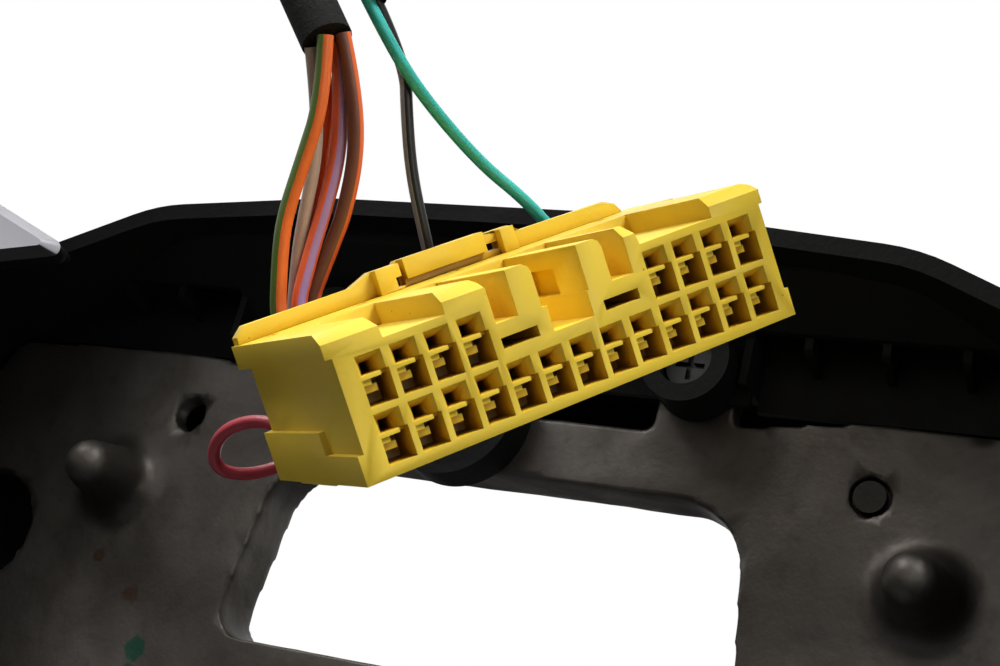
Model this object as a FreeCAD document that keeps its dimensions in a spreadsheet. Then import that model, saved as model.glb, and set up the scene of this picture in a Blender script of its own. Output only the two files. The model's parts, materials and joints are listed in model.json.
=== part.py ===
import FreeCAD, Part
import math
import os
from types import SimpleNamespace

# A car steering wheel with its airbag taken out, seen from the driver's side.
# Frame, in millimetres: the origin is in the steering column's bore, level with the front face of
# the cast hub plate. +X is right for the driver, +Z points at 12 o'clock, +Y runs away from the
# driver along the column. The plug on the loom stands in front of the hub.

os.makedirs("parts", exist_ok=True)
doc = FreeCAD.newDocument("steering_wheel")
Vector = FreeCAD.Vector
AXIS_X = Vector(1, 0, 0)
AXIS_Y = Vector(0, 1, 0)
AXIS_Z = Vector(0, 0, 1)
ORIGIN = Vector(0, 0, 0)

# Driving sizes: alias, millimetres or degrees, what it is
DRIVING = [
    ("rim_radius", 171.5, "wheel centre to the middle of the rim section"),
    ("rim_half_width", 15.5, "half the rim section, in the plane of the wheel"),
    ("rim_half_depth", 17.0, "half the rim section, front to back"),
    ("rim_forward", 45.0, "rim plane in front of the hub plate"),
    ("rim_gap", 0.35, "gap between the rim grip and the covers that end at it"),
    ("core_width", 14.0, "cast rim core, in the plane of the wheel"),
    ("core_depth", 12.0, "cast rim core, front to back"),
    ("core_wall", 3.5, "wall of the rim core's channel section"),
    ("plate_thickness", 4.0, "cast hub plate"),
    ("window_half", 42.4, "half width of the window in the hub plate"),
    ("window_shift", 1.3, "window's middle, right of the column's axis"),
    ("window_low", 26.3, "lower edge of the window"),
    ("window_high", 57.5, "upper edge of the window"),
    ("window_flange", 10.0, "how far the wall round the window reaches, from the plate's front"),
    ("window_wall", 3.0, "thickness of that wall"),
    ("boss_x", 66.0, "cast boss beside the window, from the middle"),
    ("boss_z", 48.0, "cast boss above the column's axis"),
    ("boss_height", 13.0, "cast boss in front of the plate"),
    ("boss_top_radius", 3.9, "boss at its domed top"),
    ("boss_base_radius", 9.0, "boss's foot at the plate"),
    ("small_hole_x", 56.8, "small hole above each boss, from the middle"),
    ("small_hole_z", 61.1, "small hole above the column's axis"),
    ("small_hole_radius", 2.75, "small hole"),
    ("socket_x", 92.0, "airbag socket, from the middle"),
    ("socket_z", 37.0, "airbag socket above the column's axis"),
    ("socket_radius", 10.0, "airbag socket"),
    ("hub_radius", 26.0, "cast boss round the column bush"),
    ("bush_radius", 17.0, "outside of the steel column bush"),
    ("bore_radius", 10.0, "plain pilot of the column bore"),
    ("bush_front", 16.0, "bush in front of the plate's front face"),
    ("bush_back", 14.0, "bush behind the plate's front face"),
    ("pilot_front", 6.0, "where the splines start, in front of the plate's front face"),
    ("spline_count", 24, "serrations in the column bore"),
    ("spline_depth", 0.9, "depth of a serration"),
    ("cover_front", 18.0, "cover's front lip in front of the plate"),
    ("cover_knee", 8.0, "where the cover starts to narrow, behind the plate's front face"),
    ("cover_back", 24.0, "cover's back face behind the plate's front face"),
    ("cover_wall", 2.6, "cover wall"),
    ("opening_half", 50.0, "half width of the opening in the cover's back, at its top"),
    ("opening_high", 68.0, "top of that opening above the axis"),
    ("opening_low", 38.0, "foot of that opening below the axis"),
    ("lip_depth", 5.6, "how deep the cover's lip is before its inner slope"),
    ("slope_high", 88.6, "top of the slope inside the cover, above the axis"),
    ("slope_low", 82.0, "foot of that slope"),
    ("ledge_forward", 5.5, "front edge of the ledge inside the cover, before the plate"),
    ("recess_left", 50.4, "where the ribbed recess under the ledge starts, left of the middle"),
    ("recess_right", 37.9, "where it starts, right of the middle"),
    ("recess_back", 3.0, "back wall of that recess, behind the plate's front face"),
    ("rib_offset", 12.4, "first small rib, from the recess's left start"),
    ("rib_pitch", 11.0, "spacing of the small ribs under the ledge"),
    ("rib_thickness", 1.2, "small rib"),
    ("guide_left", 6.6, "cable guide, left of the middle"),
    ("guide_high", 65.7, "cable guide, above the axis"),
    ("guide_radius", 11.1, "outside of the cable guide"),
    ("screw_x", 29.6, "upper cover screw, from the middle"),
    ("screw_z", 75.6, "upper cover screw above the column's axis"),
    ("lower_screw_x", 44.0, "lower cover screw, from the middle"),
    ("lower_screw_z", 46.0, "lower cover screw below the column's axis"),
    ("screw_head_radius", 3.6, "screw head"),
    ("screw_radius", 1.9, "screw shank"),
    ("spoke_x", 72.0, "inner end of the side spoke's face"),
    ("spoke_forward", 23.0, "side spoke's face in front of the plate at that end"),
    ("spoke_slope", 22.9, "side spoke's lean towards the rim, degrees"),
    ("bezel_thickness", 3.0, "silver spoke trim"),
    ("left_trim_start", 71.0, "tip of the left silver trim, from the middle"),
    ("right_trim_start", 75.0, "tip of the right silver trim, from the middle"),
    ("spoke_depth", 30.0, "side spoke's cover behind the face"),
    ("housing_depth", 13.0, "switch housing behind the spoke's face"),
    ("fit_gap", 0.3, "gap round a moving or inserted piece"),
    ("key_length", 22.0, "push key along the spoke"),
    ("key_height", 13.0, "push key across the spoke"),
    ("key_depth", 6.5, "push key, front to back"),
    ("key_travel", 0.8, "how far a push key goes in"),
    ("roller_radius", 7.0, "thumb roller"),
    ("roller_width", 8.5, "thumb roller"),
    ("trunnion_radius", 1.4, "thumb roller's trunnion"),
    ("running_gap", 0.05, "gap round a trunnion in its bore"),
    ("lower_z", 66.0, "inner end of the lower spoke's face, below the axis"),
    ("lower_forward", 22.0, "lower spoke's face in front of the plate at that end"),
    ("lower_slope", 20.0, "lower spoke's lean towards the rim, degrees"),
    ("lower_depth", 24.0, "lower spoke's cover behind the face"),
    ("leg_x", 26.0, "armature's lower leg, from the middle"),
    ("leg_width", 16.0, "armature's lower leg"),
    ("arm_thickness", 5.0, "web of the armature's arms and legs"),
    ("plug_x", 26.2, "plug's first cell corner"),
    ("plug_y", -76.1, "plug's first cell corner"),
    ("plug_z", 36.2, "plug's first cell corner"),
    ("plug_yaw", 45.72, "plug's turn about Z, degrees"),
    ("plug_pitch", -38.65, "plug's turn about Y, degrees"),
    ("plug_roll", 99.81, "plug's turn about X, degrees"),
    ("cell_pitch", 4.0, "plug's cells along a row"),
    ("row_pitch", 6.19, "plug's two rows of cells"),
    ("plug_depth", 26.3, "plug body, front to back"),
    ("plug_deck", 15.2, "top of the plug's blocks"),
    ("wire_diameter", 1.6, "thin insulated wire"),
    ("thick_wire_diameter", 2.0, "thick insulated wire"),
    ("left_loom_diameter", 6.4, "taped loom on the left"),
    ("right_loom_diameter", 4.2, "taped loom on the right"),
]

sheet = doc.addObject("Spreadsheet::Sheet", "Sizes")
for row, (alias, value, meaning) in enumerate(DRIVING, start=1):
    sheet.set(f"A{row}", meaning)
    sheet.set(f"B{row}", str(value))
    sheet.setAlias(f"B{row}", alias)
doc.recompute()
size = SimpleNamespace(**{alias: float(sheet.get(alias)) for alias, value, meaning in DRIVING})

subparts = []


def bind(thing, **expressions):
    """Ties properties of a document object to cells of the sheet."""
    for prop, expression in expressions.items():
        thing.setExpression(prop.replace("__", "."), expression)


def listed(thing, label):
    """Makes a document object one of the wheel's sub-parts."""
    thing.Label = label
    subparts.append(thing)
    return thing


def add_shape(label, shape, placement=None):
    """A sub-part whose shape was worked out here from the sheet's sizes."""
    thing = doc.addObject("Part::Feature", label)
    thing.Shape = shape
    if placement is not None:
        thing.Placement = placement
    return listed(thing, label)


def clean(shape):
    """A boolean's result as one tidy solid or compound."""
    joined = shape.removeSplitter()
    if joined.isValid():
        shape = joined
    return shape.Solids[0] if len(shape.Solids) == 1 else shape


# Outlines: lists of (p, q, corner radius) joined by straight edges and arcs
def outline_edges(points, place):
    """Edges of a rounded polygon; place turns (p, q) into a point in space."""
    count = len(points)
    starts, ends, middles = [], [], []
    for i in range(count):
        before = Vector(*points[i - 1][:2], 0)
        here = Vector(*points[i][:2], 0)
        after = Vector(*points[(i + 1) % count][:2], 0)
        back = (before - here).normalize()
        on = (after - here).normalize()
        half = (math.pi - back.getAngle(on)) / 2
        reach = points[i][2] * math.tan(half)
        room = 0.49 * min((before - here).Length, (after - here).Length)
        reach = min(reach, room)
        radius = reach / math.tan(half)
        bisector = (back + on).normalize()
        centre = here + bisector * (radius / math.cos(half))
        starts.append(here + back * reach)
        ends.append(here + on * reach)
        middles.append(centre - bisector * radius)
    edges = []
    for i in range(count):
        a, b, c = (place(v.x, v.y) for v in (starts[i], middles[i], ends[i]))
        edges.append(Part.Arc(a, b, c).toShape())
        following = starts[(i + 1) % count]
        edges.append(Part.LineSegment(c, place(following.x, following.y)).toShape())
    return edges


def outline_xz(points, y):
    """A rounded polygon of (x, z) points as a wire at a given y."""
    return Part.Wire(outline_edges(points, lambda p, q: Vector(p, y, q)))


def inset(points, distance):
    """The polygon moved inwards by a distance, with its corner radii reduced to suit."""
    count = len(points)
    area = sum(
        points[i][0] * points[(i + 1) % count][1] - points[(i + 1) % count][0] * points[i][1]
        for i in range(count)
    )
    turn = 1 if area > 0 else -1
    moved = []
    for i in range(count):
        before = Vector(*points[i - 1][:2], 0)
        here = Vector(*points[i][:2], 0)
        after = Vector(*points[(i + 1) % count][:2], 0)
        first = (here - before).normalize()
        second = (after - here).normalize()
        normals = [Vector(-d.y, d.x, 0) * turn for d in (first, second)]
        middle = (normals[0] + normals[1]).normalize()
        shift = distance / middle.dot(normals[0])
        moved.append((here.x + middle.x * shift, here.y + middle.y * shift,
                      max(points[i][2] - distance, 0.6)))
    return moved


def scaled(points, share):
    return [(p * share, q * share, r * share) for p, q, r in points]


def mirrored(points):
    """A right-hand half outline completed to the left; points run from top to bottom."""
    return points + [(-p, q, r) for p, q, r in reversed(points)]


def slab(points, y_from, y_to):
    """A rounded polygon in x and z, solid from one y to another."""
    face = Part.Face(outline_xz(points, y_from))
    return face.extrude(Vector(0, y_to - y_from, 0))


def block(x0, x1, y0, y1, z0, z1):
    return Part.makeBox(x1 - x0, y1 - y0, z1 - z0, Vector(x0, y0, z0))


def rod(x, z, radius, y_from, y_to):
    """A cylinder along Y."""
    return Part.makeCylinder(radius, y_to - y_from, Vector(x, y_from, z), AXIS_Y)


def tapered(x, z, radius_from, radius_to, y_from, y_to):
    return Part.makeCone(radius_from, radius_to, y_to - y_from, Vector(x, y_from, z), AXIS_Y)


def plan_prism(points, z_from, z_to):
    """A polygon of (x, y) points, solid from one z to another."""
    corners = [Vector(x, y, z_from) for x, y in points]
    return Part.Face(Part.makePolygon(corners + corners[:1])).extrude(Vector(0, 0, z_to - z_from))


def side_prism(points, x_from, x_to):
    """A polygon of (y, z) points, solid from one x to another."""
    corners = [Vector(x_from, y, z) for y, z in points]
    return Part.Face(Part.makePolygon(corners + corners[:1])).extrude(Vector(x_to - x_from, 0, 0))


def both_sides(shape):
    """A right-hand shape together with its mirror image."""
    return [shape, shape.mirror(ORIGIN, AXIS_X)]


def oval_ring(radius, half_width, half_depth, y):
    """The rim's form: an upright oval of four arcs, turned about the column's axis."""
    end_radius = half_width - 1.5
    rise = half_depth - end_radius
    side_radius = (rise ** 2 + half_width ** 2 - end_radius ** 2) / (2 * (half_width - end_radius))
    centre = Vector(radius, y, 0)
    reach = side_radius - half_width
    lean = math.atan2(rise, reach)
    meet = Vector(side_radius * math.cos(lean) - reach, side_radius * math.sin(lean), 0)
    corners = [centre + Vector(meet.x * p, meet.y * q, 0) for p, q in ((1, -1), (1, 1), (-1, 1), (-1, -1))]
    middles = [centre + way for way in (AXIS_X * half_width, AXIS_Y * half_depth, AXIS_X * -half_width,
                                        AXIS_Y * -half_depth)]
    arcs = [Part.Arc(corners[i], middles[i], corners[(i + 1) % 4]).toShape() for i in range(4)]
    return Part.Face(Part.Wire(arcs)).revolve(ORIGIN, AXIS_Y, 360)


# Rim
rim_y = -size.rim_forward
rim_clearance = oval_ring(size.rim_radius, size.rim_half_width + size.rim_gap,
                          size.rim_half_depth + size.rim_gap, rim_y)


def core_ring():
    """The armature's rim core: a channel open to the back."""
    inner = size.rim_radius - size.core_width / 2
    outer = size.rim_radius + size.core_width / 2
    front = rim_y - size.core_depth / 2
    back = rim_y + size.core_depth / 2
    wall = size.core_wall
    section = [(inner, front), (outer, front), (outer, back), (outer - wall, back),
               (outer - wall, front + wall), (inner + wall, front + wall),
               (inner + wall, back), (inner, back)]
    corners = [Vector(x, y, 0) for x, y in section]
    return Part.Face(Part.makePolygon(corners + corners[:1])).revolve(ORIGIN, AXIS_Y, 360)


# Local frames of the spokes: the face lies at y = 0, its back is +y
side_frame = FreeCAD.Placement(Vector(size.spoke_x, -size.spoke_forward, 0),
                               FreeCAD.Rotation(AXIS_Z, -size.spoke_slope))
lower_frame = FreeCAD.Placement(Vector(0, -size.lower_forward, -size.lower_z),
                                FreeCAD.Rotation(AXIS_X, -size.lower_slope))
side_cos = math.cos(math.radians(size.spoke_slope))

# The spokes' outlines were drawn for these free lengths; they stretch with the rim's radius
SIDE_RUN, LOWER_RUN = 84.0, 90.0
rim_inside = size.rim_radius - size.rim_half_width
side_stretch = (rim_inside - size.spoke_x) / SIDE_RUN
lower_stretch = (rim_inside - size.lower_z) / LOWER_RUN


def out_along(x):
    """An x on the side spoke, moved with the rim's radius."""
    return size.spoke_x + (x - size.spoke_x) * side_stretch


def along_spoke(points):
    """Points given in the wheel's x and z, laid on the side spoke's leaning face."""
    return [((out_along(x) - size.spoke_x) / side_cos, z, r) for x, z, r in points]


def in_frame(shape, frame):
    moved = shape.copy()
    moved.Placement = frame.multiply(moved.Placement)
    return moved


def end_at_rim(shape):
    """Cuts a piece back where the rim grip passes."""
    reach = rod(0, 0, size.rim_radius - size.rim_half_width * 0.5, -120, 60)
    return clean(shape.common(reach).cut(rim_clearance))


# Hub plate and arms, one casting
PLATE_OUTLINE = mirrored([(22, 67.3, 30), (56, 71.8, 30), (97, 71, 5), (106, 50, 9), (107, 25, 7),
                          (97, 20, 6), (95, -20, 10), (58, -60, 16)])
SIDE_ARM_LOW, SIDE_ARM_HIGH = -16.0, 19.5


def window_outline(grow=0.0):
    half, low, high = size.window_half + grow, size.window_low - grow, size.window_high + grow
    corners = mirrored([(half - 4.5, high, 11 + grow), (half, low, 5 + grow)])
    return [(x + size.window_shift, z, radius) for x, z, radius in corners]


def side_arm():
    """The right arm: a web that leans out to the rim core, with a rib along each edge."""
    web = size.arm_thickness
    core = side_frame.inverse().multVec(Vector(size.rim_radius, rim_y, 0))
    top, foot = core.y - web / 2, core.y + web / 2
    local = [(20.0, top), (core.x, top), (core.x, foot), (25.0, foot)]
    outer = [side_frame.multVec(Vector(a, c, 0)) for a, c in local]
    profile = [(88, 0), (93, 0)] + [(p.x, p.y) for p in outer] + [(98, size.plate_thickness),
                                                                  (88, size.plate_thickness)]
    arm = plan_prism(profile, SIDE_ARM_LOW, SIDE_ARM_HIGH)
    rib_local = [(25.0, foot - 1), (core.x - 9, foot - 1), (core.x - 12, foot + 2.5), (27.0, foot + 4.5)]
    rib_plan = [side_frame.multVec(Vector(a, c, 0)) for a, c in rib_local]
    ribs = [plan_prism([(p.x, p.y) for p in rib_plan], z, z + 3.0)
            for z in (SIDE_ARM_LOW, SIDE_ARM_HIGH - 3.0)]
    far = core.x - 30
    slot = in_frame(slab([(42, -8, 4), (far, -6, 4), (far, 10, 4), (42, 12, 4)], top - 1, foot + 1),
                    side_frame)
    return arm.multiFuse(ribs).cut(slot)


def lower_leg():
    """The right lower leg, leaning from the hub plate to the rim core."""
    web = size.arm_thickness
    leg_in, leg_out = size.leg_x - size.leg_width / 2, size.leg_x + size.leg_width / 2
    core_z = -math.sqrt(size.rim_radius ** 2 - size.leg_x ** 2)
    core = lower_frame.inverse().multVec(Vector(0, rim_y, core_z))
    top, foot = core.y - web / 2, core.y + web / 2
    local = [(top, -6.0), (top, core.z), (foot, core.z), (foot, -2.0)]
    far = [lower_frame.multVec(Vector(0, c, b)) for c, b in local]
    profile = [(0, -50), (0, -58)] + [(p.y, p.z) for p in far] + [(size.plate_thickness, -60),
                                                                 (size.plate_thickness, -50)]
    leg = side_prism(profile, leg_in, leg_out)
    rib_local = [(foot - 1, -4.0), (foot - 1, core.z + 9), (foot + 2, core.z + 12), (foot + 4, -6.0)]
    rib_side = [lower_frame.multVec(Vector(0, c, b)) for c, b in rib_local]
    ribs = [side_prism([(p.y, p.z) for p in rib_side], x, x + 3.0) for x in (leg_in, leg_out - 3.0)]
    return leg.multiFuse(ribs)


def bush_form():
    """Outside of the steel bush, which is cast into the armature."""
    barrel = rod(0, 0, size.bush_radius, -size.bush_front, size.bush_back)
    collar = rod(0, 0, size.bush_radius + 3, -1, 5)
    return barrel.fuse(collar)


def cast_boss(x, z):
    """A domed post on a foot that runs smoothly into the plate."""
    top, foot, height = size.boss_top_radius, size.boss_base_radius, size.boss_height
    waist = top + 1.0
    tip, shoulder, root = (Vector(0, -height, 0), Vector(top, -height + top * 0.8, 0),
                           Vector(waist, -(foot - waist), 0))
    bend = (foot - waist) * (1 - math.sqrt(0.5))
    dome = Part.Arc(tip, Vector(top * 0.72, -height + top * 0.26, 0), shoulder).toShape()
    shank = Part.LineSegment(shoulder, root).toShape()
    fillet = Part.Arc(root, Vector(waist + bend, -bend, 0), Vector(foot, 0, 0)).toShape()
    base = Part.makePolygon([Vector(foot, 0, 0), Vector(foot, 0.5, 0), Vector(0, 0.5, 0), tip])
    profile = Part.Face(Part.Wire([dome, shank, fillet] + base.Edges))
    post = profile.revolve(ORIGIN, AXIS_Y, 360)
    post.translate(Vector(x, 0, z))
    return post


def make_armature():
    plate = slab(PLATE_OUTLINE, 0, size.plate_thickness)
    hub = tapered(0, 0, size.hub_radius - 3, size.hub_radius, -9, 2)
    hub_back = rod(0, 0, size.hub_radius, 2, 10)
    flange = slab(window_outline(size.window_wall), 0, size.window_flange)
    ears = [rod(x, size.screw_z, 6.2, 0, size.plate_thickness) for x in (-size.screw_x, size.screw_x)]
    necks = [block(x - 6, x + 6, 0, size.plate_thickness, 60, size.screw_z)
             for x in (-size.screw_x, size.screw_x)]
    bosses = [cast_boss(side * size.boss_x, size.boss_z) for side in (-1, 1)]
    back_ribs = []
    for angle in (35, 145, 215, 325):
        rib = block(size.hub_radius - 2, 74, size.plate_thickness - 1, 9, -1.5, 1.5)
        rib.rotate(ORIGIN, AXIS_Y, angle)
        back_ribs.append(rib)
    arms = both_sides(side_arm()) + both_sides(lower_leg())
    cast = plate.multiFuse([hub, hub_back, flange, core_ring()] + ears + necks + bosses + back_ribs + arms)
    holes = [slab(window_outline(), -1, size.window_flange + 1)]
    for side in (-1, 1):
        holes.append(rod(side * size.socket_x, size.socket_z, size.socket_radius, -2, 12))
        holes.append(rod(side * size.small_hole_x, size.small_hole_z, size.small_hole_radius, -2, 12))
        holes.append(rod(side * size.screw_x, size.screw_z, size.screw_radius, -2, 12))
        holes.append(rod(side * size.lower_screw_x, -size.lower_screw_z, size.screw_radius, -2, 12))
        holes.append(slab([(side * 44, 10, 4), (side * 76, 12, 4), (side * 76, -12, 4),
                           (side * 44, -10, 4)], -1, 12))
    holes.append(slab([(-18, -38, 4), (18, -38, 4), (14, -52, 4), (-14, -52, 4)], -1, 12))
    return clean(cast.cut(Part.makeCompound(holes)).cut(bush_form()))


armature_shape = make_armature()
add_shape("armature", armature_shape)


def make_hub_bush():
    """Steel bush with a plain pilot behind and serrations in front, as a body with features."""
    body = doc.addObject("PartDesign::Body", "HubBush")
    plane = [f for f in body.Origin.OriginFeatures if f.Role == "XY_Plane"][0]
    sketch = body.newObject("Sketcher::SketchObject", "BushSection")
    sketch.AttachmentSupport = [(plane, "")]
    sketch.MapMode = "FlatFace"
    bore, barrel, collar = size.bore_radius, size.bush_radius, size.bush_radius + 3
    front, back = -size.bush_front, size.bush_back
    root, start = bore - size.spline_depth, -size.pilot_front
    corners = [(root, front), (barrel, front), (barrel, -1), (collar, -1), (collar, 5), (barrel, 5),
               (barrel, back), (bore, back), (bore, start), (root, start)]
    for i, (x, y) in enumerate(corners):
        following = corners[(i + 1) % len(corners)]
        sketch.addGeometry(Part.LineSegment(Vector(x, y, 0), Vector(*following, 0)), False)
    turned = body.newObject("PartDesign::Revolution", "BushTurned")
    turned.Profile = sketch
    turned.ReferenceAxis = (sketch, ["V_Axis"])
    turned.Angle = 360
    doc.recompute()
    groove_sketch = body.newObject("Sketcher::SketchObject", "SerrationSection")
    plane_xz = [f for f in body.Origin.OriginFeatures if f.Role == "XZ_Plane"][0]
    groove_sketch.AttachmentSupport = [(plane_xz, "")]
    groove_sketch.MapMode = "FlatFace"
    half = math.pi * bore / size.spline_count / 2
    tooth = [(root - 1, -half), (bore, -half * 0.6), (bore, half * 0.6), (root - 1, half)]
    for i, (x, y) in enumerate(tooth):
        following = tooth[(i + 1) % len(tooth)]
        groove_sketch.addGeometry(Part.LineSegment(Vector(x, y, 0), Vector(*following, 0)), False)
    groove = body.newObject("PartDesign::Pocket", "Serration")
    groove.Profile = groove_sketch
    groove.Type = 0
    groove.SideType = 2 if hasattr(groove, "SideType") else 0
    groove.Length = 2 * (size.bush_front + 2)
    doc.recompute()
    pattern = body.newObject("PartDesign::PolarPattern", "Serrations")
    pattern.Originals = [groove]
    pattern.Axis = (groove_sketch, ["N_Axis"])
    pattern.Angle = 360
    pattern.Occurrences = int(size.spline_count)
    body.Tip = pattern
    doc.recompute()
    return listed(body, "hub_bush")


bush_body = make_hub_bush()


def make_rim_grip():
    grip = oval_ring(size.rim_radius, size.rim_half_width, size.rim_half_depth, rim_y)
    return clean(grip.cut(armature_shape))


add_shape("rim_grip", make_rim_grip())

# Back cover
HUB_OUTLINE = mirrored([(30, 93.4, 60), (62, 90.5, 30), (103, 72.5, 12), (122, 38, 26), (113, -26, 34),
                        (70, -84, 34)])
SPOKE_OUTLINE = [(70.5, 79, 1.5), (92, 87, 30), (140, 104, 5), (172, 60, 5), (172, -22, 5),
                 (140, -31, 20), (92, -36, 6), (101, 0, 60), (98, 40, 40), (86, 73, 8)]
POD_OUTLINE = [(94, 72, 6), (122, 77, 10), (143, 30, 26), (138, -8, 10), (104, -20, 7), (109, 10, 60),
               (105, 44, 30)]
LOWER_OUTLINE = mirrored([(50, 0, 8), (44, -60 * lower_stretch, 60), (52, -112 * lower_stretch, 8)])


def shell_of_spoke(points, depth, frame, wall):
    """The outside and the inside of a spoke's hollow back, with sloping walls."""
    rear = inset(points, 6)
    outer = Part.makeLoft([outline_xz(points, size.bezel_thickness), outline_xz(points, depth * 0.55),
                           outline_xz(rear, depth)], True, True)
    inner_front = inset(points, wall)
    inner = Part.makeLoft([outline_xz(inner_front, size.bezel_thickness - 1),
                           outline_xz(inner_front, depth * 0.55),
                           outline_xz(inset(rear, wall), depth - wall)], True, True)
    return in_frame(outer, frame), in_frame(inner, frame)


def cover_inside_top():
    """The ledge, ribs and floor inside the top of the cover."""
    step, ledge = size.lip_depth - size.cover_front, -size.ledge_forward
    high, low = size.slope_high, size.slope_low
    slope = [(step, high), (ledge, low), (-4.0, low), (-4.0, 96), (step, 96)]
    middle = [(step, high), (ledge, low), (-1.0, 76.5), (-0.3, 76.5), (-0.3, 96), (step, 96)]
    left, right, back = -size.recess_left, size.recess_right, size.recess_back
    wedge = side_prism(slope, -110, 110)
    filled = side_prism(middle, left, right)
    floors = [block(left, right, -1.6, -0.3, 71.8, 96), block(-110, left, back, back + 1.5, 72.5, 96),
              block(right, 110, back, back + 1.5, 72.5, 96)]
    ends = [block(x, x + 1.2, -4.6, back + 1.5, 74, 96) for x in (left, right - 1.2)]
    section = [(-4.6, low + 0.3), (-4.3, low - 1.8), (-3.4, low - 2.4), (back, low - 3.6), (back, 92),
               (-4.6, 92)]
    ribs = []
    for start, way in ((left - size.rib_offset, -1), (right + size.rib_offset - 4.5, 1)):
        for i in range(4):
            x = start + way * i * size.rib_pitch
            ribs.append(side_prism(section, x - size.rib_thickness / 2, x + size.rib_thickness / 2))
    seats = [rod(x, size.screw_z, 6.6, -9, -0.3) for x in (-size.screw_x, size.screw_x)]
    return [wedge, filled] + floors + ends + ribs + seats


def make_rear_cover():
    wall = size.cover_wall
    front, knee, back = -size.cover_front, size.cover_knee, size.cover_back
    narrow = scaled(HUB_OUTLINE, 0.86)
    bowl = Part.makeLoft([outline_xz(HUB_OUTLINE, front), outline_xz(inset(HUB_OUTLINE, 1.5), knee),
                          outline_xz(narrow, back)], True, True)
    hollow = Part.makeLoft([outline_xz(inset(HUB_OUTLINE, wall), front - 1),
                            outline_xz(inset(HUB_OUTLINE, wall + 1.5), knee),
                            outline_xz(inset(narrow, wall), back - wall)], True, True)
    spoke_outer, spoke_inner = shell_of_spoke(along_spoke(SPOKE_OUTLINE), size.spoke_depth,
                                              side_frame, wall)
    lower_outer, lower_inner = shell_of_spoke(LOWER_OUTLINE, size.lower_depth, lower_frame, wall)
    outside = bowl.multiFuse(both_sides(spoke_outer) + [lower_outer])
    shell = outside.cut(hollow)
    for part in both_sides(spoke_inner) + [lower_inner]:
        shell = shell.cut(part)
    details = [piece.common(bowl) for piece in cover_inside_top()]
    posts = [rod(side * size.lower_screw_x, -size.lower_screw_z, 5, size.plate_thickness, back - 1)
             for side in (-1, 1)]
    shell = shell.multiFuse(details + posts)
    opening = mirrored([(size.opening_half, size.opening_high, 16),
                        (size.opening_half + 8, size.opening_high * 0.3, 30),
                        (size.opening_half, -size.opening_low, 14)])
    cuts = [slab(opening, back - wall - 2, back + 2)]
    passage = in_frame(block(18, 62, 14.5, 26.5, SIDE_ARM_LOW - 1, SIDE_ARM_HIGH + 1), side_frame)
    cuts += both_sides(passage)
    for side in (-1, 1):
        cuts.append(rod(side * size.screw_x, size.screw_z, size.screw_head_radius + 0.4, -10, -3.5))
        cuts.append(rod(side * size.screw_x, size.screw_z, size.screw_radius, -4, 0))
        cuts.append(rod(side * size.lower_screw_x, -size.lower_screw_z, size.screw_radius,
                        size.plate_thickness - 1, back))
        cuts.append(rod(side * size.lower_screw_x, -size.lower_screw_z, size.screw_head_radius + 0.4,
                        back - 5, back + 1))
    shell = shell.cut(Part.makeCompound(cuts))
    return end_at_rim(shell)


cover_shape = make_rear_cover()
add_shape("rear_cover", cover_shape)


def screw(x, z, seat, tip, way):
    """A pan-head screw along Y with a cross recess; way is +1 when it is driven towards +y."""
    head = rod(x, z, size.screw_head_radius, min(seat, seat - way * 2.4), max(seat, seat - way * 2.4))
    shank = rod(x, z, size.screw_radius, min(seat, tip), max(seat, tip))
    top = seat - way * 2.4
    slots = [block(x - a, x + a, min(top, top + way * 1.2) - 0.01, max(top, top + way * 1.2), z - b, z + b)
             for a, b in ((2.2, 0.4), (0.4, 2.2))]
    return head.fuse(shank).cut(slots[0]).cut(slots[1])


def make_cover_screws():
    upper = [screw(side * size.screw_x, size.screw_z, -3.5, size.plate_thickness + 2, 1)
             for side in (-1, 1)]
    lower = [screw(side * size.lower_screw_x, -size.lower_screw_z, size.cover_back - 5, 1.0, -1)
             for side in (-1, 1)]
    return Part.makeCompound([s.Solids[0] for s in upper + lower])


add_shape("cover_screws", make_cover_screws())


def make_locating_pin():
    """Pin pressed into the right small hole: its narrower end is flush with the plate's front."""
    tip = doc.addObject("Part::Cylinder", "PinTip")
    bind(tip, Radius="Sizes.small_hole_radius - 0.45", Height="Sizes.plate_thickness / 2")
    tip.Placement = FreeCAD.Placement(Vector(0, 0.15, 0), FreeCAD.Rotation(AXIS_X, -90))
    shank = doc.addObject("Part::Cylinder", "PinShank")
    bind(shank, Radius="Sizes.small_hole_radius", Height="Sizes.plate_thickness / 2 + 1",
         Placement__Base__y="Sizes.plate_thickness / 2")
    shank.Placement = FreeCAD.Placement(Vector(0, 2, 0), FreeCAD.Rotation(AXIS_X, -90))
    pin = doc.addObject("Part::Fuse", "LocatingPin")
    pin.Base = tip
    pin.Tool = shank
    bind(pin, Placement__Base__x="Sizes.small_hole_x", Placement__Base__z="Sizes.small_hole_z")
    return listed(pin, "locating_pin")


make_locating_pin()


def make_cable_guide():
    """Black grommet at the top of the window: a shallow cup with an eye for the loom."""
    x, z, radius = -size.guide_left, size.guide_high, size.guide_radius
    cup = rod(x, z, radius, -6.7, -0.1).cut(rod(x, z, radius - 1.3, -7, -1.8)).cut(rod(x, z, 4, -3, 1))
    return clean(cup.common(block(-40, 40, -8, 0, 40, 71.6)))


add_shape("cable_guide", make_cable_guide())


# Spoke faces: each right-hand piece is modelled on the leaning face, and the left one mirrors it
def pair(label, shape):
    """A right-hand sub-part on the spoke's face and its mirrored left-hand fellow."""
    right = add_shape("right_" + label, shape)
    left = doc.addObject("Part::Mirroring", "left_" + label)
    left.Source = right
    left.Normal = AXIS_X
    left.Base = ORIGIN
    listed(left, "left_" + label)
    return right, left


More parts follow.
